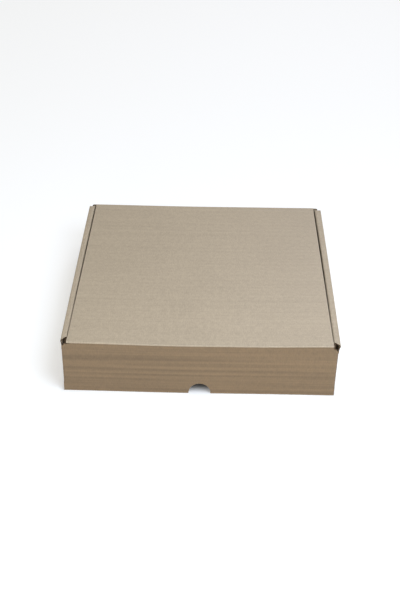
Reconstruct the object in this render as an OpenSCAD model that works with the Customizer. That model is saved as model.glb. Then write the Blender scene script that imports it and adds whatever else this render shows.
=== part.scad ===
// Shallow roll-end mailer box folded from one die-cut sheet of thin corrugated board.
// The box stands on its base and is shut: the lid lies level between the rolled side
// walls, and the front flap hangs outside the front wall with its two ears tucked in.
// X is the width, Y the depth with the front at -Y, and Z is up from the floor.

/* [Inside of the box] */
// Clear width between the rolled side walls
inner_w = 300; // [200:1:420]
// Clear depth between the front and rear walls
inner_d = 300; // [200:1:420]
// Clear height between the base and the lid
inner_h = 66.5; // [50:0.5:110]

/* [Board] */
// Thickness of the board
board = 1.5; // [1.2:0.1:2]
// Inner radius of every fold
fold_r = 0.5; // [0.3:0.1:0.8]
// Air between two layers that lie on each other
layer_gap = 0.2; // [0.15:0.05:0.4]
// Running air around the lid, the front flap and its ears
slip_gap = 0.3; // [0.25:0.05:0.5]

/* [Lid] */
// Slot between the lid and each side wall
lid_side_gap = 1.5; // [1:0.1:2.5]
// How far the lid's front corners stand out from its sides
corner_jut = 1.9; // [0.5:0.1:2.2]
// Air between the lid's front corners and the ends of the strips behind them
corner_gap = 1; // [0.8:0.1:2]

/* [Front flap] */
// Radius of the round relief at the flap's two upper corners
relief_r = 3; // [2:0.5:4]
// Height of the flap's lower edge above the floor
flap_lift = 0.4; // [0.3:0.1:1]
// Radius of the finger notch
notch_r = 12.5; // [10:0.5:18]
// Height of the centre of the notch's arc above the floor
notch_rise = 1.8; // [0.5:0.1:3]
// Radius of the rounding where the notch meets the flap's lower edge
notch_flare_r = 1; // [0.5:0.1:3]
// Depth of the finger cut in the base behind the notch
finger_cut_d = 24; // [18:1:30]
// Depth of the ear's upper edge below the top
ear_top_drop = 10; // [8:1:16]
// Height of the ear's lower edge above the floor
ear_bottom = 11.5; // [10:0.5:16]

/* [Side walls] */
// How far the top strip stays behind the front at its outer edge
strip_cut_out = 3; // [2.5:0.1:5]
// How far the top strip stays behind the front at its inner edge
strip_cut_in = 9; // [8:0.5:12]
// Radius of the outer panel's upper rear corner, where the strip ends
rear_corner_r = 8; // [5:0.5:10]
// Height of the slanted end of the outer panel's upper front corner
front_corner_h = 5; // [3:0.5:8]
// How far the outer panel stays behind the face of the front wall
panel_setback = 3; // [0:0.5:4]
// Air between each end of the inner panel and the wall it meets
inner_end_gap = 1.7; // [1:0.1:2]
// Length of each lock tab
tab_len = 32; // [20:1:45]
// Distance between the middles of the two lock tabs of a side wall
tab_spacing = 150; // [100:5:180]
// Air at each end of a lock tab in its slot
tab_end_gap = 0.6; // [0.3:0.1:1.5]

/* [Corner flaps] */
// Length of each corner flap along the side wall
corner_flap_len = 62; // [30:1:90]
// Drop of the front wall's corners below the top
front_corner_drop = 12; // [8:1:20]
// Drop of the rear wall's corners below the top
rear_corner_drop = 0.8; // [0.6:0.1:3]
// Drop of the corner flaps below the top, under the strips
corner_flap_drop = 13; // [9:1:20]

/* [Hidden] */
$fn = 96;
eps = 0.01;

// How far a cutting shape runs past what it cuts
past = board;

// Outer radius of a fold
bend_r = board + fold_r;

// Rolled side wall: outer panel, ear, corner flap and inner panel with their air
wall_hollow = 2 * board + layer_gap + 2 * slip_gap;
wall_w = 2 * board + wall_hollow;
side_in = inner_w / 2;
side_out = side_in + wall_w;

// Faces along the depth, from the front flap to the rear wall
outer_d = inner_d + 3 * board + slip_gap;
front_y = -outer_d / 2;
rear_y = outer_d / 2;
wall_y = front_y + board + slip_gap;
wall_back_y = wall_y + board;

// Heights
top_z = inner_h + 2 * board;
lid_z = top_z - board;

// The corner flaps lie on the inner panels, the ears on the corner flaps
corner_x = side_in + board + layer_gap + board;
ear_x = corner_x + slip_gap + board;

lid_half = side_in - lid_side_gap;
corner_half = lid_half + corner_jut;

// Depth of the lid's wider stretch along the front crease
corner_depth = strip_cut_in - corner_gap;

// Where the strip's slanted end crosses the ear's outer face
strip_cut_ear = strip_cut_in
    + (strip_cut_out - strip_cut_in) * (ear_x - side_in) / wall_w;

// Furthest that the ear may reach behind the front at a depth below the top. As the
// lid swings up on its rear crease, the ear's points also move forward a little, and
// each has to be in front of the strip's slanted end when it gets up to the strip.
function ear_reach(depth) = strip_cut_ear - 2 * slip_gap
    + (depth * depth - board * board) / (2 * outer_d);

ear_top = top_z - ear_top_drop;
ear_steps = 8;
ear_depths = [for (i = [0 : ear_steps]) ear_top_drop + (ear_top - ear_bottom) * i / ear_steps];

kraft_outside = [0.68, 0.61, 0.51];
kraft_front = [0.62, 0.54, 0.43];

// Quarter ring of a fold's section, in the quadrant that the signs give
module fold_section(sx, sy) {
    intersection() {
        difference() {
            circle(r = bend_r);
            circle(r = fold_r);
        }
        translate([sx < 0 ? -bend_r : 0, sy < 0 ? -bend_r : 0])
            square(bend_r);
    }
}

// Section in X and Z, drawn out along Y from y0 to y1
module along_y(y0, y1) {
    translate([0, y1, 0])
        rotate([90, 0, 0])
            linear_extrude(height = y1 - y0)
                children();
}

// Section in Y and Z, drawn out along X from x0 to x1
module along_x(x0, x1) {
    translate([x0, 0, 0])
        rotate([90, 0, 90])
            linear_extrude(height = x1 - x0)
                children();
}

// Section in X and Y, drawn out along Z from z0 to z1
module along_z(z0, z1) {
    translate([0, 0, z0])
        linear_extrude(height = z1 - z0)
            children();
}

module both_sides() {
    children();
    mirror([1, 0, 0])
        children();
}

// Flat stretch of a section between two opposite corners
module flat(x0, y0, x1, y1) {
    translate([x0, y0])
        square([x1 - x0, y1 - y0]);
}

// Side wall's outer panel and top strip, with the folds that join them to the base
module outer_roll_section() {
    translate([side_out - bend_r, bend_r])
        fold_section(1, -1);
    flat(side_out - board, bend_r, side_out, top_z - bend_r);
    translate([side_out - bend_r, top_z - bend_r])
        fold_section(1, 1);
    flat(side_in + bend_r, lid_z, side_out - bend_r, top_z);
    translate([side_in + bend_r, top_z - bend_r])
        fold_section(-1, 1);
}

// Outer panel seen from the side: slanted upper front corner, round upper rear one
module outer_panel_outline() {
    strip_y = front_y + strip_cut_out;
    panel_y = wall_y + panel_setback;
    polygon([
        [panel_y, 0],
        [rear_y, 0],
        [rear_y, top_z - rear_corner_r],
        [rear_y - rear_corner_r, top_z - rear_corner_r],
        [rear_y - rear_corner_r, top_z],
        [strip_y, top_z],
        [panel_y, top_z - front_corner_h]
    ]);
    translate([rear_y - rear_corner_r, top_z - rear_corner_r])
        quarter_disc(rear_corner_r, 1);
}

// Inner panel seen from the side: its upper corners are rounded off to the strip's ends
module inner_panel_outline() {
    y0 = wall_back_y + inner_end_gap;
    y1 = rear_y - board - inner_end_gap;
    strip_y0 = front_y + strip_cut_in;
    strip_y1 = rear_y - rear_corner_r;
    front_r = strip_y0 - y0;
    rear_r = y1 - strip_y1;
    flat(y0, board + layer_gap, strip_y0, top_z - front_r);
    flat(strip_y0, board + layer_gap, strip_y1, top_z);
    flat(strip_y1, board + layer_gap, y1, top_z - rear_r);
    translate([strip_y0, top_z - front_r])
        quarter_disc(front_r, -1);
    translate([strip_y1, top_z - rear_r])
        quarter_disc(rear_r, 1);
}

// Upper quarter of a disc, on the side that the sign gives
module quarter_disc(r, sx) {
    intersection() {
        circle(r = r);
        translate([sx < 0 ? -r : 0, 0])
            square(r);
    }
}

// Wedge in front of the strip's slanted end
module strip_end_cut() {
    along_z(top_z - bend_r, top_z + past)
        polygon([
            [side_in - past, front_y],
            [side_out + past, front_y],
            [side_out + past, front_y + strip_cut_out],
            [side_out, front_y + strip_cut_out],
            [side_in, front_y + strip_cut_in],
            [side_in - past, front_y + strip_cut_in]
        ]);
}

// One rolled side wall, on the +X side
module side_wall() {
    difference() {
        intersection() {
            along_y(wall_y, rear_y)
                outer_roll_section();
            along_x(side_in - past, side_out + past)
                outer_panel_outline();
        }
        strip_end_cut();
    }
    intersection() {
        along_y(wall_y, rear_y)
            flat(side_in, board + layer_gap, side_in + board, top_z - bend_r);
        along_x(side_in - past, side_out + past)
            inner_panel_outline();
    }
    lock_tabs();
}

module lock_tabs() {
    for (s = [-1, 1])
        translate([side_in, s * tab_spacing / 2 - tab_len / 2, layer_gap])
            cube([board, tab_len, board + layer_gap]);
}

// Slots in the base that take the lock tabs of the +X side
module tab_slots() {
    slot_len = tab_len + 2 * tab_end_gap;
    for (s = [-1, 1])
        translate([side_in - layer_gap, s * tab_spacing / 2 - slot_len / 2, -past])
            cube([board + 2 * layer_gap, slot_len, board + 2 * past]);
}

// Section of an upright wall and the fold at its foot, with its outer face at -Y
module wall_section(height) {
    translate([bend_r, bend_r])
        fold_section(-1, -1);
    flat(0, bend_r, board, height);
}

// Half of an end wall on the +X side, with its outer face at y = 0 and facing -Y. The
// corner flap's upper edge slants down from the wall's corner until it is under the strip.
module end_wall_half(height, corner_drop, slant_len) {
    corner_z = top_z - corner_drop;
    along_x(0, lid_half + slip_gap)
        wall_section(height);
    along_x(lid_half + slip_gap, corner_x - bend_r)
        wall_section(corner_z);
    translate([corner_x - bend_r, bend_r, 0])
        along_z(bend_r, corner_z)
            fold_section(1, -1);
    along_x(corner_x - board, corner_x)
        polygon([
            [bend_r, board + layer_gap],
            [corner_flap_len, board + layer_gap],
            [corner_flap_len, top_z - corner_flap_drop],
            [slant_len, top_z - corner_flap_drop],
            [bend_r, corner_z]
        ]);
}

module front_wall() {
    translate([0, wall_y, 0])
        both_sides()
            end_wall_half(lid_z - slip_gap, front_corner_drop, strip_cut_in);
}

module rear_wall() {
    translate([0, rear_y, 0])
        mirror([0, 1, 0])
            both_sides()
                end_wall_half(lid_z - layer_gap, rear_corner_drop, rear_corner_r);
}

module base() {
    difference() {
        translate([-(side_out - bend_r), wall_y + bend_r, 0])
            cube([2 * (side_out - bend_r), rear_y - wall_y - 2 * bend_r, board]);
        both_sides()
            tab_slots();
    }
    // Strips of the base under the wall corners, out to the side folds
    both_sides() {
        for (y = [wall_y, rear_y - bend_r])
            translate([corner_x - bend_r, y, 0])
                cube([side_out - corner_x, bend_r, board]);
    }
}

// Round-ended finger cut through the front wall and the front edge of the base
module finger_cut() {
    along_y(wall_y - past, wall_back_y + past)
        notch_shape();
    along_z(-past, board + past) {
        flat(-notch_r, wall_y - past, notch_r, front_y + finger_cut_d - notch_r);
        translate([0, front_y + finger_cut_d - notch_r])
            circle(r = notch_r);
    }
    along_z(-past, bend_r + past)
        flat(-notch_r, wall_y - past, notch_r, wall_y + bend_r + past);
}

// Half-round notch, upright in X and Z, open at the foot
module notch_shape() {
    translate([0, notch_rise])
        circle(r = notch_r);
    flat(-notch_r, -past, notch_r, notch_rise);
}

module tray() {
    color(kraft_outside)
        difference() {
            union() {
                base();
                front_wall();
                rear_wall();
                both_sides()
                    side_wall();
            }
            finger_cut();
        }
}

// Lid's section along the depth, with the outer round of both creases
module lid_section() {
    flat(front_y + board, lid_z, rear_y - board, top_z);
    for (s = [-1, 1])
        translate([s * (rear_y - board), lid_z])
            quarter_disc(board, s);
}

module lid() {
    color(kraft_outside) {
        along_x(-lid_half, lid_half)
            lid_section();
        intersection() {
            along_x(-corner_half, corner_half)
                lid_section();
            translate([-corner_half, front_y, lid_z])
                cube([2 * corner_half, corner_depth, board]);
        }
    }
}

// Front flap seen from the front, with its relieved upper corners and its notch
module flap_outline() {
    difference() {
        flat(-ear_x, flap_lift, ear_x, lid_z - layer_gap);
        for (s = [-1, 1]) {
            translate([s * ear_x, lid_z])
                circle(r = relief_r);
            translate([s * (ear_x - bend_r / 2), (ear_bottom + ear_top) / 2])
                square([bend_r + eps, ear_top - ear_bottom], center = true);
        }
        notch_shape();
        for (s = [-1, 1])
            notch_flare(s);
    }
}

// Rounded lower corner of the notch on one side
module notch_flare(s) {
    translate([s * notch_r, flap_lift])
        difference() {
            flat(s < 0 ? -notch_flare_r : 0, -past, s < 0 ? 0 : notch_flare_r, notch_flare_r);
            translate([s * notch_flare_r, notch_flare_r])
                circle(r = notch_flare_r);
        }
}

// One ear, on the +X side, with the fold that joins it to the flap
module ear() {
    y0 = front_y + bend_r;
    translate([ear_x - bend_r, y0, 0])
        along_z(ear_bottom, ear_top)
            fold_section(1, -1);
    along_x(ear_x - board, ear_x)
        polygon(concat(
            [[y0, ear_bottom]],
            [for (i = [ear_steps : -1 : 0]) [front_y + ear_reach(ear_depths[i]), top_z - ear_depths[i]]],
            [[y0, ear_top]]
        ));
}

module front_flap() {
    color(kraft_front) {
        along_y(front_y, front_y + board)
            flap_outline();
        both_sides()
            ear();
    }
}

tray();
lid();
front_flap();
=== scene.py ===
import math

import bmesh
import bpy
from mathutils import Matrix, Vector
from mathutils.bvhtree import BVHTree


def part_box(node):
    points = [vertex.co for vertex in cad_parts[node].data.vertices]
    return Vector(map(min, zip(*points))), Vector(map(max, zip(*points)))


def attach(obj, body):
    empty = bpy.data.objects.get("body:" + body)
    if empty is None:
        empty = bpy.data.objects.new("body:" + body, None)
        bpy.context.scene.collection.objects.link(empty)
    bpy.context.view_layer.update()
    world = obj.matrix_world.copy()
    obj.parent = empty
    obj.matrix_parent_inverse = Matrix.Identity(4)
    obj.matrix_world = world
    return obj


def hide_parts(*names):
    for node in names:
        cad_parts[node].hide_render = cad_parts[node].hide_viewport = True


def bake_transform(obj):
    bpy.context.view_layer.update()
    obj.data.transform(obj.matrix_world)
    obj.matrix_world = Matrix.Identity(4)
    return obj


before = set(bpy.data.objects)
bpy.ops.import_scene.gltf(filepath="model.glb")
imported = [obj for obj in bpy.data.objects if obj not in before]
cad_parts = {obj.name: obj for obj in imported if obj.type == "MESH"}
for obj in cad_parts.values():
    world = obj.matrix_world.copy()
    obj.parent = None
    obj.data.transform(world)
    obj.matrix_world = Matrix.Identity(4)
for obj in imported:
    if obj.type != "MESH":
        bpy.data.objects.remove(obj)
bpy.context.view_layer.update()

bl_info = {
    "name": "Corrugated Mailer Box",
    "version": (1, 0, 0),
    "blender": (4, 5, 0),
    "location": "3D View > Sidebar > Mailer Box",
    "description": "Dresses the folded boards of a shallow mailer box and sets its studio",
    "category": "Object",
}

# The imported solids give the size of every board.
TRAY_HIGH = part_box("tray")[1]
LID_LOW, LID_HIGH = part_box("lid")
FLAP_LOW, FLAP_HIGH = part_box("front_flap")

MM = 0.001
BOARD = LID_HIGH.z - LID_LOW.z
HALF_WIDTH = TRAY_HIGH.x
HALF_DEPTH = LID_HIGH.y
TOP = LID_HIGH.z

# A fold that opens takes this much of the lid, down to where the rear wall and the flap end.
CREASE_DEPTH = 2.5 * MM
CREASE_FOOT = FLAP_HIGH.z
CREASE_SEGMENTS = 8

# The lid's front corners jut out past its sides, and are bent in at their tips.
CORNER_JUT = 1.9 * MM
CORNER_TUCK = 1.6 * MM
LID_HALF = LID_HIGH.x - CORNER_JUT

# The rolled side walls start outside this line, with their inner panels.
ROLL_FROM = LID_HALF + 1.0 * MM
INNER_PANEL = LID_HALF + 1.5 * MM

# Between these lines stand the corner flaps, in the hollow of the rolled side walls.
CORNER_FLAP_FROM = LID_HALF + 3.1 * MM
CORNER_FLAP_TO = HALF_WIDTH - 3.0 * MM

# Where the lid is slack: an extra dip of its front crease, and the corner that springs up.
DIP_AT = 67 * MM
DIP_REACH = 26 * MM
LIFT_FROM = 85 * MM
LIFT_AT_REAR = 0.25

# The walls stand upright up to this height, and lean above it.
UPRIGHT_UP_TO = 20 * MM

# The left roll leans this many times as far as the right one.
LEFT_LEAN_SHARE = 1.3

# The inner ends of the rolls' strips are cut back, less and less behind their front end.
STRIP_BACK_LEFT = 2.0 * MM
STRIP_BACK_RIGHT = 0.5 * MM
STRIP_END = -143.4 * MM
STRIP_EASE = 18 * MM

# The rolls neither lean nor are cut back this close to the front and the rear of the box.
ROLL_ENDS = 6 * MM

# The side walls are pressed in behind the flap, over this part of them.
FLAP_BACK = FLAP_LOW.y + BOARD + 0.1 * MM
PINCH_FROM = HALF_WIDTH - 3.8 * MM
PINCH_FULL = -145 * MM
PINCH_END = -100 * MM
PINCH_TOP = 60 * MM

# The front wall's hidden top edge is lowered, to clear the fold when the flap is raised.
FRONT_WALL_BACK = -147 * MM
FRONT_WALL_TOP = 66 * MM
WALL_WEAR = 1.5 * MM

# The flap's right edge is trimmed, and its left edge flares towards the foot. Its shift
# sets in over the first share of its height.
FLAP_TRIM = 0.5 * MM
FLAP_FLARE = 0.9 * MM
FLAP_TRIM_FROM = 140 * MM
FLAP_SHIFT_EASE = 0.15

# The flap's top corners are worn lower, the right one most, from this far out.
FLAP_RIGHT_DROP = 3.4 * MM
FLAP_LEFT_DROP = 1.2 * MM
FLAP_CORNER_FROM = LID_HIGH.x - 1.8 * MM
FLAP_CORNER_FULL = LID_HIGH.x - 0.9 * MM

# Sizes of what the eye sees in the paper.
DRIFT_SIZE = 90 * MM
CLOUD_SIZE = 5 * MM
FIBRE_WIDTH = 0.7 * MM
FIBRE_LENGTH = 3.5 * MM
WANDER_SIZE = 60 * MM
WANDER = 2.2 * MM
LINE_PITCH = 5.5 * MM
LINE_CHANGES_PER_METRE = 3.0
FLECK_PITCH = 9 * MM
RAG_SIZE = 0.8 * MM

# The share of places without a fleck, and the largest fleck as a share of its place.
FLECK_FREE = 0.62
FLECK_RADIUS = 0.075

# How much each variation changes the paper's shade.
DRIFT_SHADE = 0.10
CLOUD_SHADE = 0.30
FIBRE_SHADE = 0.58
# The washboard's share is painted shade of its relief: darker in the sinks, lighter on the crests.
WASHBOARD_PAINTED_SHADE = 0.012
STREAK_SHADE = 0.045
LINE_SHADE = 0.82
FLECK_SHADE = -0.22

# The relief of the paper and of a cut edge.
PAPER_RELIEF = 0.10 * MM
EDGE_RELIEF = 0.25 * MM

# How much each variation adds, as a share of that relief.
WASHBOARD_RISE = 0.30
FIBRE_RISE = 0.55
CLOUD_RISE = 0.70
LINE_RISE = 0.60
RAG_RISE = 0.4

# The flap shows its streaks in full, and the flat lid and walls only faintly.
FRONT_STREAKS = 1.0
LID_STREAKS = 0.18

# The core at a cut edge, in board thicknesses: its wave, its paper and the liners.
WAVE_HEIGHT = 0.33
CORE_PAPER = 0.10
CORE_FADE = 0.15
LINER_FADE = 0.31
LINER_FROM = 0.35

# How much of a cut along the flutes their side walls close.
SIDE_FILL = 0.62

# The light table's colours and glow, and the margin of the box's footprint where its glow is taken
# away, as painted shade at the box's foot.
TABLE_COLOUR = "#c9c9c8"
TABLE_LIGHT_COLOUR = "#fbfaf9"
TABLE_GLOW = 0.48
PAINTED_SHADE_FROM = -14 * MM
PAINTED_SHADE_TO = 5 * MM

# How near two corners are one, how far a probe starts inside, and the angles at which
# faces are joined and edges are shaded sharp.
WELD = 0.001 * MM
NUDGE = 0.01 * MM
FLAT_ANGLE = math.radians(0.5)
SHARP_ANGLE = math.radians(32)

# A face is liner where less than this many boards lie behind it.
ONE_BOARD = 1.35

# The middle of a noise and of the board, and how squarely a crease's end faces sideways.
MIDDLE = 0.5
FACING = 0.9

LINER, CUT_EDGE = 0, 1


def linear(hex_colour):
    """An sRGB hex colour as linear red, green, blue and alpha."""
    parts = [int(hex_colour[i:i + 2], 16) / 255 for i in (1, 3, 5)]
    return [c / 12.92 if c <= 0.04045 else ((c + 0.055) / 1.055) ** 2.4 for c in parts] + [1.0]


class MailerSizes(bpy.types.PropertyGroup):
    """Sizes of what the board does between its folds."""

    flute_pitch: bpy.props.FloatProperty(
        name="Flute pitch", description="Distance between two flutes of the core",
        default=3.4 * MM, min=1 * MM, max=10 * MM, subtype="DISTANCE", unit="LENGTH")
    streak_pitch: bpy.props.FloatProperty(
        name="Streak pitch", description="Distance between two broad streaks of the paper",
        default=7.1 * MM, min=2 * MM, max=30 * MM, subtype="DISTANCE", unit="LENGTH")
    front_sag: bpy.props.FloatProperty(
        name="Front sag", description="How far the front crease sags between its ends",
        default=0.9 * MM, min=0, max=5 * MM, subtype="DISTANCE", unit="LENGTH")
    rear_sag: bpy.props.FloatProperty(
        name="Rear sag", description="How far the rear crease sags between its ends",
        default=0.6 * MM, min=0, max=5 * MM, subtype="DISTANCE", unit="LENGTH")
    front_bulge: bpy.props.FloatProperty(
        name="Front bulge", description="How far the front swells forward between its ends",
        default=1.0 * MM, min=0, max=5 * MM, subtype="DISTANCE", unit="LENGTH")
    front_dip: bpy.props.FloatProperty(
        name="Front dip", description="Extra dip of the front crease, right of its middle",
        default=0.45 * MM, min=0, max=5 * MM, subtype="DISTANCE", unit="LENGTH")
    corner_lift: bpy.props.FloatProperty(
        name="Corner lift", description="How far the lid's front right corner springs up",
        default=1.5 * MM, min=0, max=5 * MM, subtype="DISTANCE", unit="LENGTH")
    side_swell: bpy.props.FloatProperty(
        name="Side swell", description="How far the top of each side wall swells outward",
        default=0.3 * MM, min=0, max=5 * MM, subtype="DISTANCE", unit="LENGTH")
    rear_taper: bpy.props.FloatProperty(
        name="Rear taper", description="How far the lid's sides and the rolls draw in at the rear",
        default=1.45 * MM, min=0, max=5 * MM, subtype="DISTANCE", unit="LENGTH")
    lid_shift: bpy.props.FloatProperty(
        name="Lid shift", description="How far the lid's sides and the inner folds sit to the left",
        default=0.5 * MM, min=0, max=5 * MM, subtype="DISTANCE", unit="LENGTH")
    front_taper: bpy.props.FloatProperty(
        name="Front taper", description="How far the lid's sides and the rolls open at the front",
        default=0.55 * MM, min=0, max=5 * MM, subtype="DISTANCE", unit="LENGTH")
    roll_lean: bpy.props.FloatProperty(
        name="Roll lean", description="How far each roll leans towards the lid at the front",
        default=0.9 * MM, min=0, max=5 * MM, subtype="DISTANCE", unit="LENGTH")
    left_pinch: bpy.props.FloatProperty(
        name="Left pinch", description="How far the left wall is pressed in behind the flap",
        default=0.9 * MM, min=0, max=5 * MM, subtype="DISTANCE", unit="LENGTH")
    right_pinch: bpy.props.FloatProperty(
        name="Right pinch", description="How far the right wall is pressed in behind the flap",
        default=1.85 * MM, min=0, max=5 * MM, subtype="DISTANCE", unit="LENGTH")
    flap_lean: bpy.props.FloatProperty(
        name="Flap lean", description="How far the flap's lower edge stands off the front wall",
        default=1.2 * MM, min=0, max=5 * MM, subtype="DISTANCE", unit="LENGTH")
    flap_shift: bpy.props.FloatProperty(
        name="Flap shift", description="How far the flap's lower edge is pushed to the left",
        default=0.35 * MM, min=0, max=5 * MM, subtype="DISTANCE", unit="LENGTH")
    flap_drop: bpy.props.FloatProperty(
        name="Flap drop", description="How far the flap's lower edge hangs below its cut line",
        default=0.2 * MM, min=0, max=0.4 * MM, subtype="DISTANCE", unit="LENGTH")
    bow_centre: bpy.props.FloatProperty(
        name="Bow centre", description="Where along the width the creases bow most",
        default=-25 * MM, subtype="DISTANCE", unit="LENGTH")
    grid_step: bpy.props.FloatProperty(
        name="Grid step", description="Spacing of the cuts that let a board bow",
        default=12 * MM, min=4 * MM, max=60 * MM, subtype="DISTANCE", unit="LENGTH")
    crease_step: bpy.props.FloatProperty(
        name="Crease step", description="Spacing of the cuts across a fold that opens",
        default=0.25 * MM, min=0.1 * MM, max=2 * MM, subtype="DISTANCE", unit="LENGTH")


class MailerColours(bpy.types.PropertyGroup):
    """Colours of the kraft paper and of its cut edges."""

    # The liner is kraft brown, greyed and lightened in part as painted sheen on the lid's top.
    liner: bpy.props.FloatVectorProperty(
        name="Liner", description="Brown kraft paper of the lid and the walls",
        default=linear("#aa9981")[:3], size=3, min=0, max=1, subtype="COLOR")
    # The front liner is the same paper as the lid's, made darker and browner, in part as painted
    # shade of the upright flap.
    front_liner_painted_shade: bpy.props.FloatVectorProperty(
        name="Front liner", description="The paper as the front flap shows it, darker and browner",
        default=linear("#7e674a")[:3], size=3, min=0, max=1, subtype="COLOR")
    # The core is the fluting paper's brown, darkened in part as painted shade of the cut edges; the
    # hollow colour is painted shade.
    core: bpy.props.FloatVectorProperty(
        name="Core", description="Fluting paper, seen at the cut edges",
        default=linear("#6e5740")[:3], size=3, min=0, max=1, subtype="COLOR")
    hollow: bpy.props.FloatVectorProperty(
        name="Hollow", description="Shade inside the flutes at the cut edges",
        default=linear("#1e160e")[:3], size=3, min=0, max=1, subtype="COLOR")


def sizes():
    """The sizes in the panel."""
    return bpy.context.scene.mailer_sizes


def colours():
    """The colours in the panel."""
    return bpy.context.scene.mailer_colours


# Materials

def add_node(tree, kind, inputs=(), **settings):
    """Adds a node with its settings, and gives each input its value or its link."""
    new = tree.nodes.new(kind)
    for name, value in settings.items():
        setattr(new, name, value)
    for key, value in dict(inputs).items():
        if isinstance(value, bpy.types.NodeSocket):
            tree.links.new(value, new.inputs[key])
        else:
            new.inputs[key].default_value = value
    return new


def per_metre(size):
    """The scale of a noise whose features are this big."""
    return 1 / size


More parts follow.
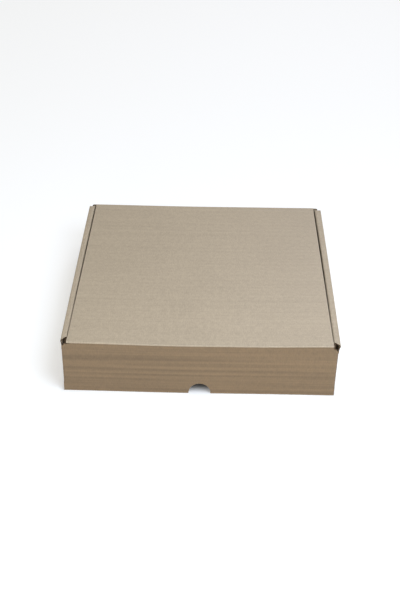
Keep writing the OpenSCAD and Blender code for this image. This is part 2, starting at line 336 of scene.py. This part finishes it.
def kraft_liner(name, colour, streak_depth):
    """Kraft linerboard: unbleached wood pulp, drum-dried and glued over the flutes.

    To the eye it is a dull grey-brown with fine grain, faint streaks along the flutes, a
    few dark flecks and a weak sheen at low angles.
    """
    found = bpy.data.materials.get(name)
    if found:
        return found
    material = bpy.data.materials.new(name)
    material.use_nodes = True
    tree = material.node_tree
    tree.nodes.clear()
    place = add_node(tree, "ShaderNodeTexCoord").outputs["Object"]
    board = add_node(tree, "ShaderNodeAttribute", attribute_name="board").outputs["Vector"]
    across = add_node(tree, "ShaderNodeSeparateXYZ", {0: board}).outputs["X"]

    # Cloudy pulp, and the slow change of shade over a sheet.
    drift = add_node(tree, "ShaderNodeTexNoise", {
        "Vector": place, "Scale": per_metre(DRIFT_SIZE), "Detail": 2, "Roughness": 0.5})
    clouds = add_node(tree, "ShaderNodeTexNoise", {
        "Vector": place, "Scale": per_metre(CLOUD_SIZE), "Detail": 4, "Roughness": 0.62})

    # Fibres lie along the machine direction, which crosses the flutes.
    stretched = add_node(tree, "ShaderNodeMapping", {
        "Vector": place,
        "Scale": (per_metre(FIBRE_WIDTH), per_metre(FIBRE_LENGTH), per_metre(FIBRE_LENGTH))})
    fibres = add_node(tree, "ShaderNodeTexNoise", {
        "Vector": stretched.outputs[0], "Scale": 1, "Detail": 3, "Roughness": 0.6})

    # Washboard: the liner sinks a little between the tips of the flutes, and the sinks are painted
    # darker and the crests lighter, as painted shade of that relief.
    turn = add_node(tree, "ShaderNodeMath", {
        0: across, 1: math.tau / sizes().flute_pitch}, operation="MULTIPLY")
    washboard = add_node(tree, "ShaderNodeMath", {0: turn.outputs[0]}, operation="SINE")

    # Broad streaks along the flutes, in full on the flap and faint on the lid and walls.
    wander = add_node(tree, "ShaderNodeTexNoise", {
        "Vector": place, "Scale": per_metre(WANDER_SIZE), "Detail": 2, "Roughness": 0.5})
    shifted = add_node(tree, "ShaderNodeMath", {
        0: wander.outputs["Fac"], 1: WANDER, 2: across}, operation="MULTIPLY_ADD")
    streak_turn = add_node(tree, "ShaderNodeMath", {
        0: shifted.outputs[0], 1: math.tau / sizes().streak_pitch}, operation="MULTIPLY")
    streaks = add_node(tree, "ShaderNodeMath", {0: streak_turn.outputs[0]}, operation="SINE")
    smear = add_node(tree, "ShaderNodeVectorMath", {
        0: place, 1: (LINE_CHANGES_PER_METRE,) * 3}, operation="MULTIPLY")
    step = add_node(tree, "ShaderNodeMath", {
        0: across, 1: per_metre(LINE_PITCH)}, operation="MULTIPLY")
    lines_at = add_node(tree, "ShaderNodeCombineXYZ", {"Y": step.outputs[0]})
    lines_place = add_node(tree, "ShaderNodeVectorMath", {
        0: smear.outputs[0], 1: lines_at.outputs[0]}, operation="ADD")
    lines = add_node(tree, "ShaderNodeTexNoise", {
        "Vector": lines_place.outputs[0], "Scale": 1, "Detail": 2, "Roughness": 0.55})

    # Flecks of bark in the pulp.
    fleck_cells = add_node(tree, "ShaderNodeTexVoronoi", {
        "Vector": place, "Scale": per_metre(FLECK_PITCH)})
    fleck_size = add_node(tree, "ShaderNodeSeparateColor", {0: fleck_cells.outputs["Color"]})
    fleck_edge = add_node(tree, "ShaderNodeMapRange", {
        "Value": fleck_size.outputs[0], "From Min": FLECK_FREE, "From Max": 1.0,
        "To Min": 0.0, "To Max": FLECK_RADIUS})
    fleck = add_node(tree, "ShaderNodeMath", {
        0: fleck_cells.outputs["Distance"], 1: fleck_edge.outputs[0]}, operation="LESS_THAN")

    # Each variation is centred on nothing and weighed before it is added up.
    tone = 1.0
    weighed = (
        (drift.outputs["Fac"], MIDDLE, DRIFT_SHADE),
        (clouds.outputs["Fac"], MIDDLE, CLOUD_SHADE),
        (fibres.outputs["Fac"], MIDDLE, FIBRE_SHADE),
        (washboard.outputs[0], 0.0, WASHBOARD_PAINTED_SHADE),
        (streaks.outputs[0], 0.0, STREAK_SHADE * streak_depth),
        (lines.outputs["Fac"], MIDDLE, LINE_SHADE * streak_depth),
        (fleck.outputs[0], 0.0, FLECK_SHADE),
    )
    for socket, middle, weight in weighed:
        centred = add_node(tree, "ShaderNodeMath", {0: socket, 1: middle}, operation="SUBTRACT")
        summed = add_node(tree, "ShaderNodeMath", {
            0: centred.outputs[0], 1: weight, 2: tone}, operation="MULTIPLY_ADD")
        tone = summed.outputs[0]
    paper = add_node(tree, "ShaderNodeHueSaturation", {
        "Value": tone, "Color": list(colour) + [1.0]})

    relief = 0.0
    raised = (
        (washboard.outputs[0], WASHBOARD_RISE),
        (fibres.outputs["Fac"], FIBRE_RISE),
        (clouds.outputs["Fac"], CLOUD_RISE),
        (lines.outputs["Fac"], LINE_RISE * streak_depth),
    )
    for socket, weight in raised:
        summed = add_node(tree, "ShaderNodeMath", {
            0: socket, 1: weight, 2: relief}, operation="MULTIPLY_ADD")
        relief = summed.outputs[0]
    bump = add_node(tree, "ShaderNodeBump", {
        "Height": relief, "Distance": PAPER_RELIEF, "Strength": 0.8})
    roughness = add_node(tree, "ShaderNodeMapRange", {
        "Value": clouds.outputs["Fac"], "From Min": 0.3, "From Max": 0.7,
        "To Min": 0.46, "To Max": 0.56})
    shader = add_node(tree, "ShaderNodeBsdfPrincipled", {
        "Base Color": paper.outputs[0], "Roughness": roughness.outputs[0],
        "Normal": bump.outputs[0], "IOR": 1.5, "Specular IOR Level": 0.5})
    add_node(tree, "ShaderNodeOutputMaterial", {"Surface": shader.outputs[0]})
    material.diffuse_color = list(colour) + [1.0]
    return material


def cut_board_edge():
    """Die-cut edge of single-wall corrugated board: two liners with the flutes between.

    To the eye it is a ragged brown line, darkened in part as painted shade, with painted shade in
    the hollows of the flutes.
    """
    name = "die_cut_corrugated_edge"
    found = bpy.data.materials.get(name)
    if found:
        return found
    material = bpy.data.materials.new(name)
    material.use_nodes = True
    tree = material.node_tree
    tree.nodes.clear()
    place = add_node(tree, "ShaderNodeTexCoord").outputs["Object"]
    board = add_node(tree, "ShaderNodeAttribute", attribute_name="board").outputs["Vector"]
    parts = add_node(tree, "ShaderNodeSeparateXYZ", {0: board})
    across, depth, open_share = (parts.outputs[axis] for axis in "XYZ")

    # The fluting paper is a wave between the liners.
    turn = add_node(tree, "ShaderNodeMath", {
        0: across, 1: math.tau / sizes().flute_pitch}, operation="MULTIPLY")
    wave = add_node(tree, "ShaderNodeMath", {0: turn.outputs[0]}, operation="SINE")
    wave_at = add_node(tree, "ShaderNodeMath", {
        0: wave.outputs[0], 1: WAVE_HEIGHT, 2: MIDDLE}, operation="MULTIPLY_ADD")
    off_wave = add_node(tree, "ShaderNodeMath", {
        0: depth, 1: wave_at.outputs[0]}, operation="SUBTRACT")
    near_wave = add_node(tree, "ShaderNodeMath", {0: off_wave.outputs[0]}, operation="ABSOLUTE")
    on_wave = add_node(tree, "ShaderNodeMapRange", {
        "Value": near_wave.outputs[0], "From Min": CORE_PAPER, "From Max": CORE_FADE,
        "To Min": 1.0, "To Max": 0.0})
    off_middle = add_node(tree, "ShaderNodeMath", {0: depth, 1: MIDDLE}, operation="SUBTRACT")
    from_middle = add_node(tree, "ShaderNodeMath", {0: off_middle.outputs[0]}, operation="ABSOLUTE")
    on_liner = add_node(tree, "ShaderNodeMapRange", {
        "Value": from_middle.outputs[0], "From Min": LINER_FADE, "From Max": LINER_FROM})
    solid = add_node(tree, "ShaderNodeMath", {
        0: on_wave.outputs[0], 1: on_liner.outputs[0]}, operation="MAXIMUM")

    # Where the cut runs along the flutes, their side walls close most of it.
    closed = add_node(tree, "ShaderNodeMath", {0: 1.0, 1: open_share}, operation="SUBTRACT")
    half_closed = add_node(tree, "ShaderNodeMath", {
        0: closed.outputs[0], 1: SIDE_FILL}, operation="MULTIPLY")
    filled = add_node(tree, "ShaderNodeMath", {
        0: solid.outputs[0], 1: half_closed.outputs[0]}, operation="MAXIMUM")

    ragged = add_node(tree, "ShaderNodeTexNoise", {
        "Vector": place, "Scale": per_metre(RAG_SIZE), "Detail": 3, "Roughness": 0.6})
    # The core colour is the fluting paper darkened in part as painted shade, and the hollow colour
    # is painted shade.
    core = list(colours().core) + [1.0]
    shade = add_node(tree, "ShaderNodeHueSaturation", {
        "Value": add_node(tree, "ShaderNodeMapRange", {
            "Value": ragged.outputs["Fac"], "To Min": 0.8, "To Max": 1.25}).outputs[0],
        "Color": core})
    paper = add_node(tree, "ShaderNodeMix", {
        0: filled.outputs[0], 6: list(colours().hollow) + [1.0], 7: shade.outputs[0]},
        data_type="RGBA")
    relief = add_node(tree, "ShaderNodeMath", {
        0: ragged.outputs["Fac"], 1: RAG_RISE, 2: filled.outputs[0]}, operation="MULTIPLY_ADD")
    bump = add_node(tree, "ShaderNodeBump", {
        "Height": relief.outputs[0], "Distance": EDGE_RELIEF, "Strength": 0.9})
    shader = add_node(tree, "ShaderNodeBsdfPrincipled", {
        "Base Color": paper.outputs[2], "Roughness": 0.85,
        "Normal": bump.outputs[0], "IOR": 1.5, "Specular IOR Level": 0.25})
    add_node(tree, "ShaderNodeOutputMaterial", {"Surface": shader.outputs[0]})
    material.diffuse_color = core
    return material


def light_table():
    """Opal acrylic of a light table, cast and matted.

    To the eye it is an even white without reflections, glowing faintly as if from below. Its
    glow is taken away in and around the box's footprint: painted shade at the box's foot.
    """
    material = bpy.data.materials.new("opal_acrylic_light_table")
    material.use_nodes = True
    tree = material.node_tree
    tree.nodes.clear()
    place = add_node(tree, "ShaderNodeTexCoord").outputs["Object"]
    parts = add_node(tree, "ShaderNodeSeparateXYZ", {0: place})
    beyond = []
    for axis, half in (("X", HALF_WIDTH), ("Y", HALF_DEPTH)):
        off = add_node(tree, "ShaderNodeMath", {0: parts.outputs[axis]}, operation="ABSOLUTE")
        beyond.append(add_node(tree, "ShaderNodeMath", {
            0: off.outputs[0], 1: half}, operation="SUBTRACT").outputs[0])
    outside = add_node(tree, "ShaderNodeMath", {
        0: beyond[0], 1: beyond[1]}, operation="MAXIMUM")
    # The glow fades out in and around the footprint: painted shade under the box and at its foot.
    glow_with_painted_shade = add_node(tree, "ShaderNodeMapRange", {
        "Value": outside.outputs[0], "From Min": PAINTED_SHADE_FROM, "From Max": PAINTED_SHADE_TO,
        "To Min": 0.0, "To Max": TABLE_GLOW}, interpolation_type="SMOOTHSTEP")
    shader = add_node(tree, "ShaderNodeBsdfPrincipled", {
        "Base Color": linear(TABLE_COLOUR), "Roughness": 0.9, "Specular IOR Level": 0.1,
        "Emission Color": linear(TABLE_LIGHT_COLOUR), "Emission Strength": glow_with_painted_shade.outputs[0]})
    add_node(tree, "ShaderNodeOutputMaterial", {"Surface": shader.outputs[0]})
    return material


# Boards

def board_of(node):
    """A bmesh of a packed board, with its loose triangles joined into whole faces."""
    bm = bmesh.new()
    bm.from_mesh(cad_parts[node].data)
    bmesh.ops.remove_doubles(bm, verts=bm.verts, dist=WELD)
    bmesh.ops.dissolve_limit(bm, angle_limit=FLAT_ANGLE, verts=bm.verts, edges=bm.edges)
    return bm


def block(low, high):
    """A bmesh of a straight block between two corners."""
    bm = bmesh.new()
    size = high - low
    place = Matrix.Translation((low + high) / 2) @ Matrix.Diagonal((*size, 1))
    bmesh.ops.create_cube(bm, size=1, matrix=place)
    return bm


def cut_at(bm, axis, value):
    """Cuts every face where one of its coordinates has this value."""
    place, normal = Vector(), Vector()
    place[axis] = value
    normal[axis] = 1
    everything = bm.verts[:] + bm.edges[:] + bm.faces[:]
    bmesh.ops.bisect_plane(bm, geom=everything, plane_co=place, plane_no=normal, dist=WELD)


def cut_across(bm, axis, step):
    """Cuts every face along one axis at even steps."""
    low = min(v.co[axis] for v in bm.verts)
    high = max(v.co[axis] for v in bm.verts)
    count = max(1, round((high - low) / step))
    for i in range(1, count):
        cut_at(bm, axis, low + (high - low) * i / count)


def cut_off(bm, y, side):
    """Cuts away what lies beyond y on one side, and closes the cut."""
    everything = bm.verts[:] + bm.edges[:] + bm.faces[:]
    cut = bmesh.ops.bisect_plane(
        bm, geom=everything, plane_co=(0, y, 0), plane_no=(0, side, 0), clear_outer=True,
        dist=WELD)
    rim = [part for part in cut["geom_cut"] if isinstance(part, bmesh.types.BMEdge)]
    bmesh.ops.edgenet_fill(bm, edges=rim)
    bmesh.ops.recalc_face_normals(bm, faces=bm.faces)


def sheet_axes(normal, centre):
    """The axis that crosses the flutes of a sheet, and the axis that they run along."""
    facing = max(range(3), key=lambda axis: abs(normal[axis]))
    if facing == 2:
        return 1, 0
    if facing == 1:
        return 2, 0
    if CORNER_FLAP_FROM < abs(centre.x) < CORNER_FLAP_TO:
        return 2, 1
    return 1, 2


def mark_board(bm):
    """Tells liner from cut edge, and gives each corner its place in the board.

    A face is liner where the board behind it is one board thick. Each face corner gets
    the distance across the flutes, the depth in the board from 0 to 1, and how squarely
    the face cuts the flutes.
    """
    bm.normal_update()
    around = BVHTree.FromBMesh(bm)
    middles = {}
    for corners in bm.calc_loop_triangles():
        a, b, c = (loop.vert.co for loop in corners)
        area = (b - a).cross(c - a).length
        face = corners[0].face
        if area > middles.get(face, (0, None))[0]:
            middles[face] = (area, (a + b + c) / 3)
    place = bm.loops.layers.float_vector.new("board")
    for face in bm.faces:
        start = middles[face][1] - face.normal * NUDGE
        depth = around.ray_cast(start, -face.normal)[3]
        thin = depth is not None and depth < BOARD * ONE_BOARD
        face.material_index = LINER if thin else CUT_EDGE
    for face in bm.faces:
        sheet = face
        if face.material_index == CUT_EDGE:
            beside = [
                (edge.calc_length(), i, other)
                for i, edge in enumerate(face.edges)
                for other in edge.link_faces
                if other.material_index == LINER
            ]
            if beside:
                sheet = max(beside)[2]
        across, along = sheet_axes(sheet.normal, middles[sheet][1])
        open_share = abs(face.normal[along])
        surface = sheet.verts[0].co
        for loop in face.loops:
            depth = (surface - loop.vert.co).dot(sheet.normal) / BOARD
            loop[place] = (loop.vert.co[across], depth, open_share)


def ease(value, start, end):
    """A smooth step from 0 at the start to 1 at the end."""
    share = max(0.0, min(1.0, (value - start) / (end - start)))
    return share * share * (3 - 2 * share)


def bow(bm):
    """Lets the board lie as slack card does.

    The creases sag, the front and the sides swell, the lid and the rolls narrow towards
    the rear, and the side walls are pressed in behind the flap.
    """
    at = sizes()
    for vert in bm.verts:
        x, y, z = vert.co
        out = abs(x)
        forward = (HALF_DEPTH - y) / (2 * HALF_DEPTH)
        height = max(0, z / TOP)
        away = min(1, abs(x - at.bow_centre) / (HALF_WIDTH - abs(at.bow_centre)))
        across = (1 + math.cos(math.pi * away)) / 2
        along = max(0, 1 - (y / HALF_DEPTH) ** 2)
        sag = at.rear_sag + (at.front_sag - at.rear_sag) * forward
        dip = at.front_dip * math.exp(-((x - DIP_AT) / DIP_REACH) ** 2) * forward
        vert.co.z -= (sag * across + dip) * height ** 2
        vert.co.y -= at.front_bulge * across * forward ** 3
        # The walls' feet stay where they are, and only what stands above them moves.
        taper = at.front_taper * forward - at.rear_taper * (1 - forward)
        if out < INNER_PANEL:
            spread = out / INNER_PANEL
        else:
            spread = (HALF_WIDTH - out) / (HALF_WIDTH - INNER_PANEL)
        upper = ease(z, UPRIGHT_UP_TO, CREASE_FOOT)
        move = taper * spread * upper
        vert.co.x -= at.lid_shift * spread * upper
        if out > ROLL_FROM:
            move += at.side_swell * along * height
        # The walls' front edges are pressed in, and with them the ears inside the walls.
        pinch = at.right_pinch if x > 0 else at.left_pinch
        if y > FLAP_BACK:
            near = 1 - ease(y, PINCH_FULL, PINCH_END)
            low = 1 - ease(z, PINCH_TOP, CREASE_FOOT)
            move -= pinch * near * low * max(0, out - PINCH_FROM) / (HALF_WIDTH - PINCH_FROM)
        vert.co.x += move * math.copysign(1, x)


def settle_tray(bm):
    """The rolls lean towards the lid, most at the front, and the front wall's edge is lowered."""
    for vert in bm.verts:
        x, y, z = vert.co
        out = abs(x)
        forward = (HALF_DEPTH - y) / (2 * HALF_DEPTH)
        if out > ROLL_FROM and abs(y) < HALF_DEPTH - ROLL_ENDS:
            spread = max(0, HALF_WIDTH - out) / (HALF_WIDTH - INNER_PANEL)
            lean = sizes().roll_lean * forward ** 2 * spread * ease(z, UPRIGHT_UP_TO, LID_LOW.z)
            lean *= LEFT_LEAN_SHARE if x < 0 else 1
            vert.co.x -= math.copysign(lean, x)
            back = STRIP_BACK_LEFT if x < 0 else STRIP_BACK_RIGHT
            end = 1 - ease(y, STRIP_END, STRIP_END + STRIP_EASE)
            vert.co.y += back * end * min(1, spread) * ease(z, UPRIGHT_UP_TO, LID_LOW.z)
        if y < FRONT_WALL_BACK and out < CORNER_FLAP_FROM:
            vert.co.z -= WALL_WEAR * ease(z, PINCH_TOP, FRONT_WALL_TOP)


def lift_corner(bm):
    """The lid springs up at its front right corner, and takes the top of the flap along."""
    for vert in bm.verts:
        x, y, z = vert.co
        forward = (HALF_DEPTH - y) / (2 * HALF_DEPTH)
        lift = sizes().corner_lift * ease(x, LIFT_FROM, HALF_WIDTH)
        share = LIFT_AT_REAR + (1 - LIFT_AT_REAR) * forward ** 4
        vert.co.z += lift * share * max(0, z / TOP) ** 2


def tuck_corners(bm):
    """The lid's front corners are bent in at their tips."""
    for vert in bm.verts:
        if abs(vert.co.x) > LID_HALF + CORNER_JUT / 2:
            vert.co.x -= math.copysign(CORNER_TUCK, vert.co.x)


def hang_flap(bm):
    """The flap's foot stands off the wall and sits to the left, and its top corners are worn."""
    at = sizes()
    for vert in bm.verts:
        x, y, z = vert.co
        down = max(0, 1 - z / FLAP_HIGH.z)
        vert.co.y -= at.flap_lean * down
        vert.co.z -= at.flap_drop * down
        shift = at.flap_shift
        if y < FLAP_BACK:
            shift += FLAP_TRIM * ease(x, FLAP_TRIM_FROM, FLAP_HIGH.x)
            shift += FLAP_FLARE * down * ease(-x, FLAP_TRIM_FROM, FLAP_HIGH.x)
        vert.co.x -= shift * ease(down, 0, FLAP_SHIFT_EASE)
        drop = FLAP_RIGHT_DROP if x > 0 else FLAP_LEFT_DROP
        corner = ease(abs(x), FLAP_CORNER_FROM, FLAP_CORNER_FULL)
        vert.co.z -= drop * corner * ease(z, PINCH_TOP, CREASE_FOOT)


def finish_board(bm, name, liner):
    """Makes the object, with the liner and the cut edge as its two materials."""
    mesh = bpy.data.meshes.new(name)
    bm.to_mesh(mesh)
    bm.free()
    mesh.shade_smooth()
    mesh.set_sharp_from_angle(angle=SHARP_ANGLE)
    mesh.materials.append(liner)
    mesh.materials.append(cut_board_edge())
    piece = bpy.data.objects.new(name, mesh)
    bpy.context.scene.collection.objects.link(piece)
    return piece


def lid_liner_painted_sheen():
    """Liner of the lid and the walls: kraft brown, greyed and lightened in part as painted sheen.
    """
    return kraft_liner("kraft_linerboard", colours().liner, LID_STREAKS)


def front_liner_painted_shade():
    """Liner of the front flap: the same paper made darker and browner, in part as painted shade,
    and more streaked.
    """
    return kraft_liner("kraft_linerboard_front_painted_shade", colours().front_liner_painted_shade, FRONT_STREAKS)


def crease_block(y0, y1, outer_y, half):
    """A fold that opens: a bar of board with its outer corner rounded, cut for bending."""
    low_z = CREASE_FOOT
    bm = block(Vector((-half, min(y0, y1), low_z)), Vector((half, max(y0, y1), TOP)))
    corner = [
        edge for edge in bm.edges
        if all(abs(v.co.y - outer_y) < WELD and abs(v.co.z - TOP) < WELD for v in edge.verts)
    ]
    bmesh.ops.bevel(
        bm, geom=corner, offset=BOARD, offset_type="OFFSET", affect="EDGES",
        segments=CREASE_SEGMENTS, profile=0.5, material=-1)
    bm.normal_update()
    place = bm.loops.layers.float_vector.new("board")
    cut_across(bm, 0, sizes().grid_step)
    cut_across(bm, 1, sizes().crease_step)
    cut_across(bm, 2, sizes().crease_step)
    for face in bm.faces:
        end = abs(face.normal.x) > FACING
        face.material_index = CUT_EDGE if end else LINER
        for loop in face.loops:
            depth = (TOP - loop.vert.co.z) / BOARD
            loop[place] = (loop.vert.co.y, depth, 1.0 if end else 0.0)
    return bm


class MAILER_OT_tray(bpy.types.Operator):
    """Builds the tray: base, end walls, corner flaps and rolled side walls"""

    bl_idname = "mailer.tray"
    bl_label = "Build the tray"

    def execute(self, context):
        bm = board_of("tray")
        cut_across(bm, 0, sizes().grid_step * 2)
        cut_across(bm, 1, sizes().grid_step)
        cut_across(bm, 2, sizes().grid_step)
        mark_board(bm)
        bow(bm)
        settle_tray(bm)
        tray = finish_board(bm, "tray_board", lid_liner_painted_sheen())
        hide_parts("tray")
        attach(tray, "tray")
        return {"FINISHED"}


class MAILER_OT_lid(bpy.types.Operator):
    """Builds the flat of the lid, between its two creases"""

    bl_idname = "mailer.lid"
    bl_label = "Build the lid"

    def execute(self, context):
        bm = board_of("lid")
        cut_off(bm, LID_LOW.y + CREASE_DEPTH, -1)
        cut_off(bm, LID_HIGH.y - CREASE_DEPTH, 1)
        cut_across(bm, 0, sizes().grid_step)
        cut_across(bm, 1, sizes().grid_step)
        mark_board(bm)
        tuck_corners(bm)
        bow(bm)
        lift_corner(bm)
        lid = finish_board(bm, "lid_board", lid_liner_painted_sheen())
        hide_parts("lid")
        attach(lid, "lid")
        return {"FINISHED"}


class MAILER_OT_front_flap(bpy.types.Operator):
    """Builds the front flap with its finger notch and its two ears"""

    bl_idname = "mailer.front_flap"
    bl_label = "Build the front flap"

    def execute(self, context):
        bm = board_of("front_flap")
        for x in (FLAP_CORNER_FROM, FLAP_CORNER_FULL):
            for side in (-1, 1):
                cut_at(bm, 0, side * x)
        cut_across(bm, 0, sizes().grid_step)
        cut_across(bm, 2, sizes().grid_step)
        mark_board(bm)
        bow(bm)
        lift_corner(bm)
        hang_flap(bm)
        flap = finish_board(bm, "front_flap_board", front_liner_painted_shade())
        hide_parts("front_flap")
        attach(flap, "front_flap")
        return {"FINISHED"}


class MAILER_OT_creases(bpy.types.Operator):
    """Builds the two folds that the box opens on"""

    bl_idname = "mailer.creases"
    bl_label = "Build the creases"

    def execute(self, context):
        front = crease_block(
            LID_LOW.y, LID_LOW.y + CREASE_DEPTH, LID_LOW.y, LID_HIGH.x)
        tuck_corners(front)
        bow(front)
        lift_corner(front)
        front = finish_board(front, "front_crease", lid_liner_painted_sheen())
        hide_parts("lid")
        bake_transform(front)
        rear = crease_block(
            LID_HIGH.y - CREASE_DEPTH, LID_HIGH.y, LID_HIGH.y, LID_HALF)
        bow(rear)
        lift_corner(rear)
        rear = finish_board(rear, "rear_crease", lid_liner_painted_sheen())
        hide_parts("lid")
        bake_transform(rear)
        return {"FINISHED"}


# Studio

# The camera's place, its turn and its lens follow the photograph's edges.
CAMERA_PLACE = Vector((0.0121, -1.0275, 0.7578))
CAMERA_AZIMUTH = math.radians(0.852)
CAMERA_ELEVATION = math.radians(35.63)
CAMERA_ROLL = math.radians(0.66)
FOCAL_PIXELS = 1000
FRAME_HEIGHT = 600
SENSOR_MM = 36

# The floor is wide enough to fill the picture, and lies just below the box's foot.
FLOOR_RADIUS = 8
FLOOR_SIDES = 96
FLOOR_DROP = 0.2 * MM

# The room gives even light from all sides.
ROOM_COLOUR = "#ffffff"
ROOM_STRENGTH = 0.41

# A wide window above, a little to the right, gives the soft shadow on the left.
WINDOW_FROM = (0.213, 0.03, 1.0)
WINDOW_STRENGTH = 0.69
WINDOW_DEGREES = 36
WINDOW_COLOUR = "#fafff5"

# Softboxes, in metres and watts: over the front, behind for the lid's sheen, and low in front.
KEY_PLACE = (0.25, -0.45, 0.75)
KEY_WATTS = 5.6
KEY_COLOUR = "#dfecff"
RIM_PLACE = (0.45, 1.25, 1.20)
RIM_WATTS = 4.0
RIM_COLOUR = "#dcdfff"
SOFTBOX_WIDTH = 0.5
LOW_PLACE = (-0.2, -1.9, 0.30)
LOW_WATTS = 6.0
LOW_WIDTH = 0.8
LOW_COLOUR = "#ffffff"


def add_lamp(name, kind, place, target):
    """A lamp of one kind at a place, turned to its target."""
    light = bpy.data.lights.new(name, kind)
    lamp = bpy.data.objects.new(name, light)
    lamp.location = place
    lamp.rotation_euler = (Vector(target) - Vector(place)).to_track_quat("-Z", "Y").to_euler()
    bpy.context.scene.collection.objects.link(lamp)
    return light


def softbox(name, place, target, power, size, colour):
    """A round softbox."""
    light = add_lamp(name, "AREA", place, target)
    light.energy = power
    light.shape = "DISK"
    light.size = size
    light.color = linear(colour)[:3]


def window_light(name, place, target, strength, spread, colour):
    """Even light from one side of the sky, as wide as a large window."""
    light = add_lamp(name, "SUN", place, target)
    light.energy = strength
    light.angle = math.radians(spread)
    light.color = linear(colour)[:3]


class MAILER_OT_stage(bpy.types.Operator):
    """Sets the pale floor, the soft light and the camera"""

    bl_idname = "mailer.stage"
    bl_label = "Set the stage"

    def execute(self, context):
        scene = context.scene
        bm = bmesh.new()
        bmesh.ops.create_circle(
            bm, cap_ends=True, segments=FLOOR_SIDES, radius=FLOOR_RADIUS,
            matrix=Matrix.Translation((0, 0, -FLOOR_DROP)))
        mesh = bpy.data.meshes.new("floor")
        bm.to_mesh(mesh)
        bm.free()
        mesh.materials.append(light_table())
        floor = bpy.data.objects.new("floor", mesh)
        scene.collection.objects.link(floor)

        world = bpy.data.worlds.new("studio")
        world.use_nodes = True
        background = world.node_tree.nodes["Background"]
        background.inputs["Color"].default_value = linear(ROOM_COLOUR)
        background.inputs["Strength"].default_value = ROOM_STRENGTH
        scene.world = world

        middle = (0, 0, TOP)
        window_light(
            "soft_window", WINDOW_FROM, middle, WINDOW_STRENGTH, WINDOW_DEGREES, WINDOW_COLOUR)
        softbox("key_softbox", KEY_PLACE, middle, KEY_WATTS, SOFTBOX_WIDTH, KEY_COLOUR)
        softbox("rim_softbox", RIM_PLACE, middle, RIM_WATTS, SOFTBOX_WIDTH, RIM_COLOUR)
        softbox("low_fill", LOW_PLACE, middle, LOW_WATTS, LOW_WIDTH, LOW_COLOUR)

        camera = bpy.data.cameras.new("camera")
        camera.sensor_width = SENSOR_MM
        camera.lens = FOCAL_PIXELS * SENSOR_MM / FRAME_HEIGHT
        view = bpy.data.objects.new("camera", camera)
        turn = (
            Matrix.Rotation(CAMERA_AZIMUTH, 4, "Z")
            @ Matrix.Rotation(math.pi / 2 - CAMERA_ELEVATION, 4, "X")
            @ Matrix.Rotation(CAMERA_ROLL, 4, "Z"))
        view.matrix_world = Matrix.Translation(CAMERA_PLACE) @ turn
        scene.collection.objects.link(view)
        scene.camera = view
        scene.view_settings.view_transform = "Standard"
        return {"FINISHED"}


class MAILER_PT_panel(bpy.types.Panel):
    """Lists the box's sizes and colours, and a button for each piece"""

    bl_idname = "MAILER_PT_panel"
    bl_label = "Mailer Box"
    bl_space_type = "VIEW_3D"
    bl_region_type = "UI"
    bl_category = "Mailer Box"

    def draw(self, context):
        layout = self.layout
        for group in (context.scene.mailer_sizes, context.scene.mailer_colours):
            box = layout.box()
            for name in group.__annotations__:
                box.prop(group, name)
        for operator in PIECES:
            layout.operator(operator.bl_idname)


PIECES = (
    MAILER_OT_stage,
    MAILER_OT_tray,
    MAILER_OT_lid,
    MAILER_OT_front_flap,
    MAILER_OT_creases,
)
CLASSES = (MailerSizes, MailerColours) + PIECES + (MAILER_PT_panel,)


def register():
    for item in CLASSES:
        bpy.utils.register_class(item)
    bpy.types.Scene.mailer_sizes = bpy.props.PointerProperty(type=MailerSizes)
    bpy.types.Scene.mailer_colours = bpy.props.PointerProperty(type=MailerColours)


def unregister():
    del bpy.types.Scene.mailer_colours
    del bpy.types.Scene.mailer_sizes
    for item in reversed(CLASSES):
        bpy.utils.unregister_class(item)


def main():
    register()
    bpy.ops.mailer.stage()
    bpy.ops.mailer.tray()
    bpy.ops.mailer.lid()
    bpy.ops.mailer.front_flap()
    bpy.ops.mailer.creases()


if __name__ == "__main__":
    main()
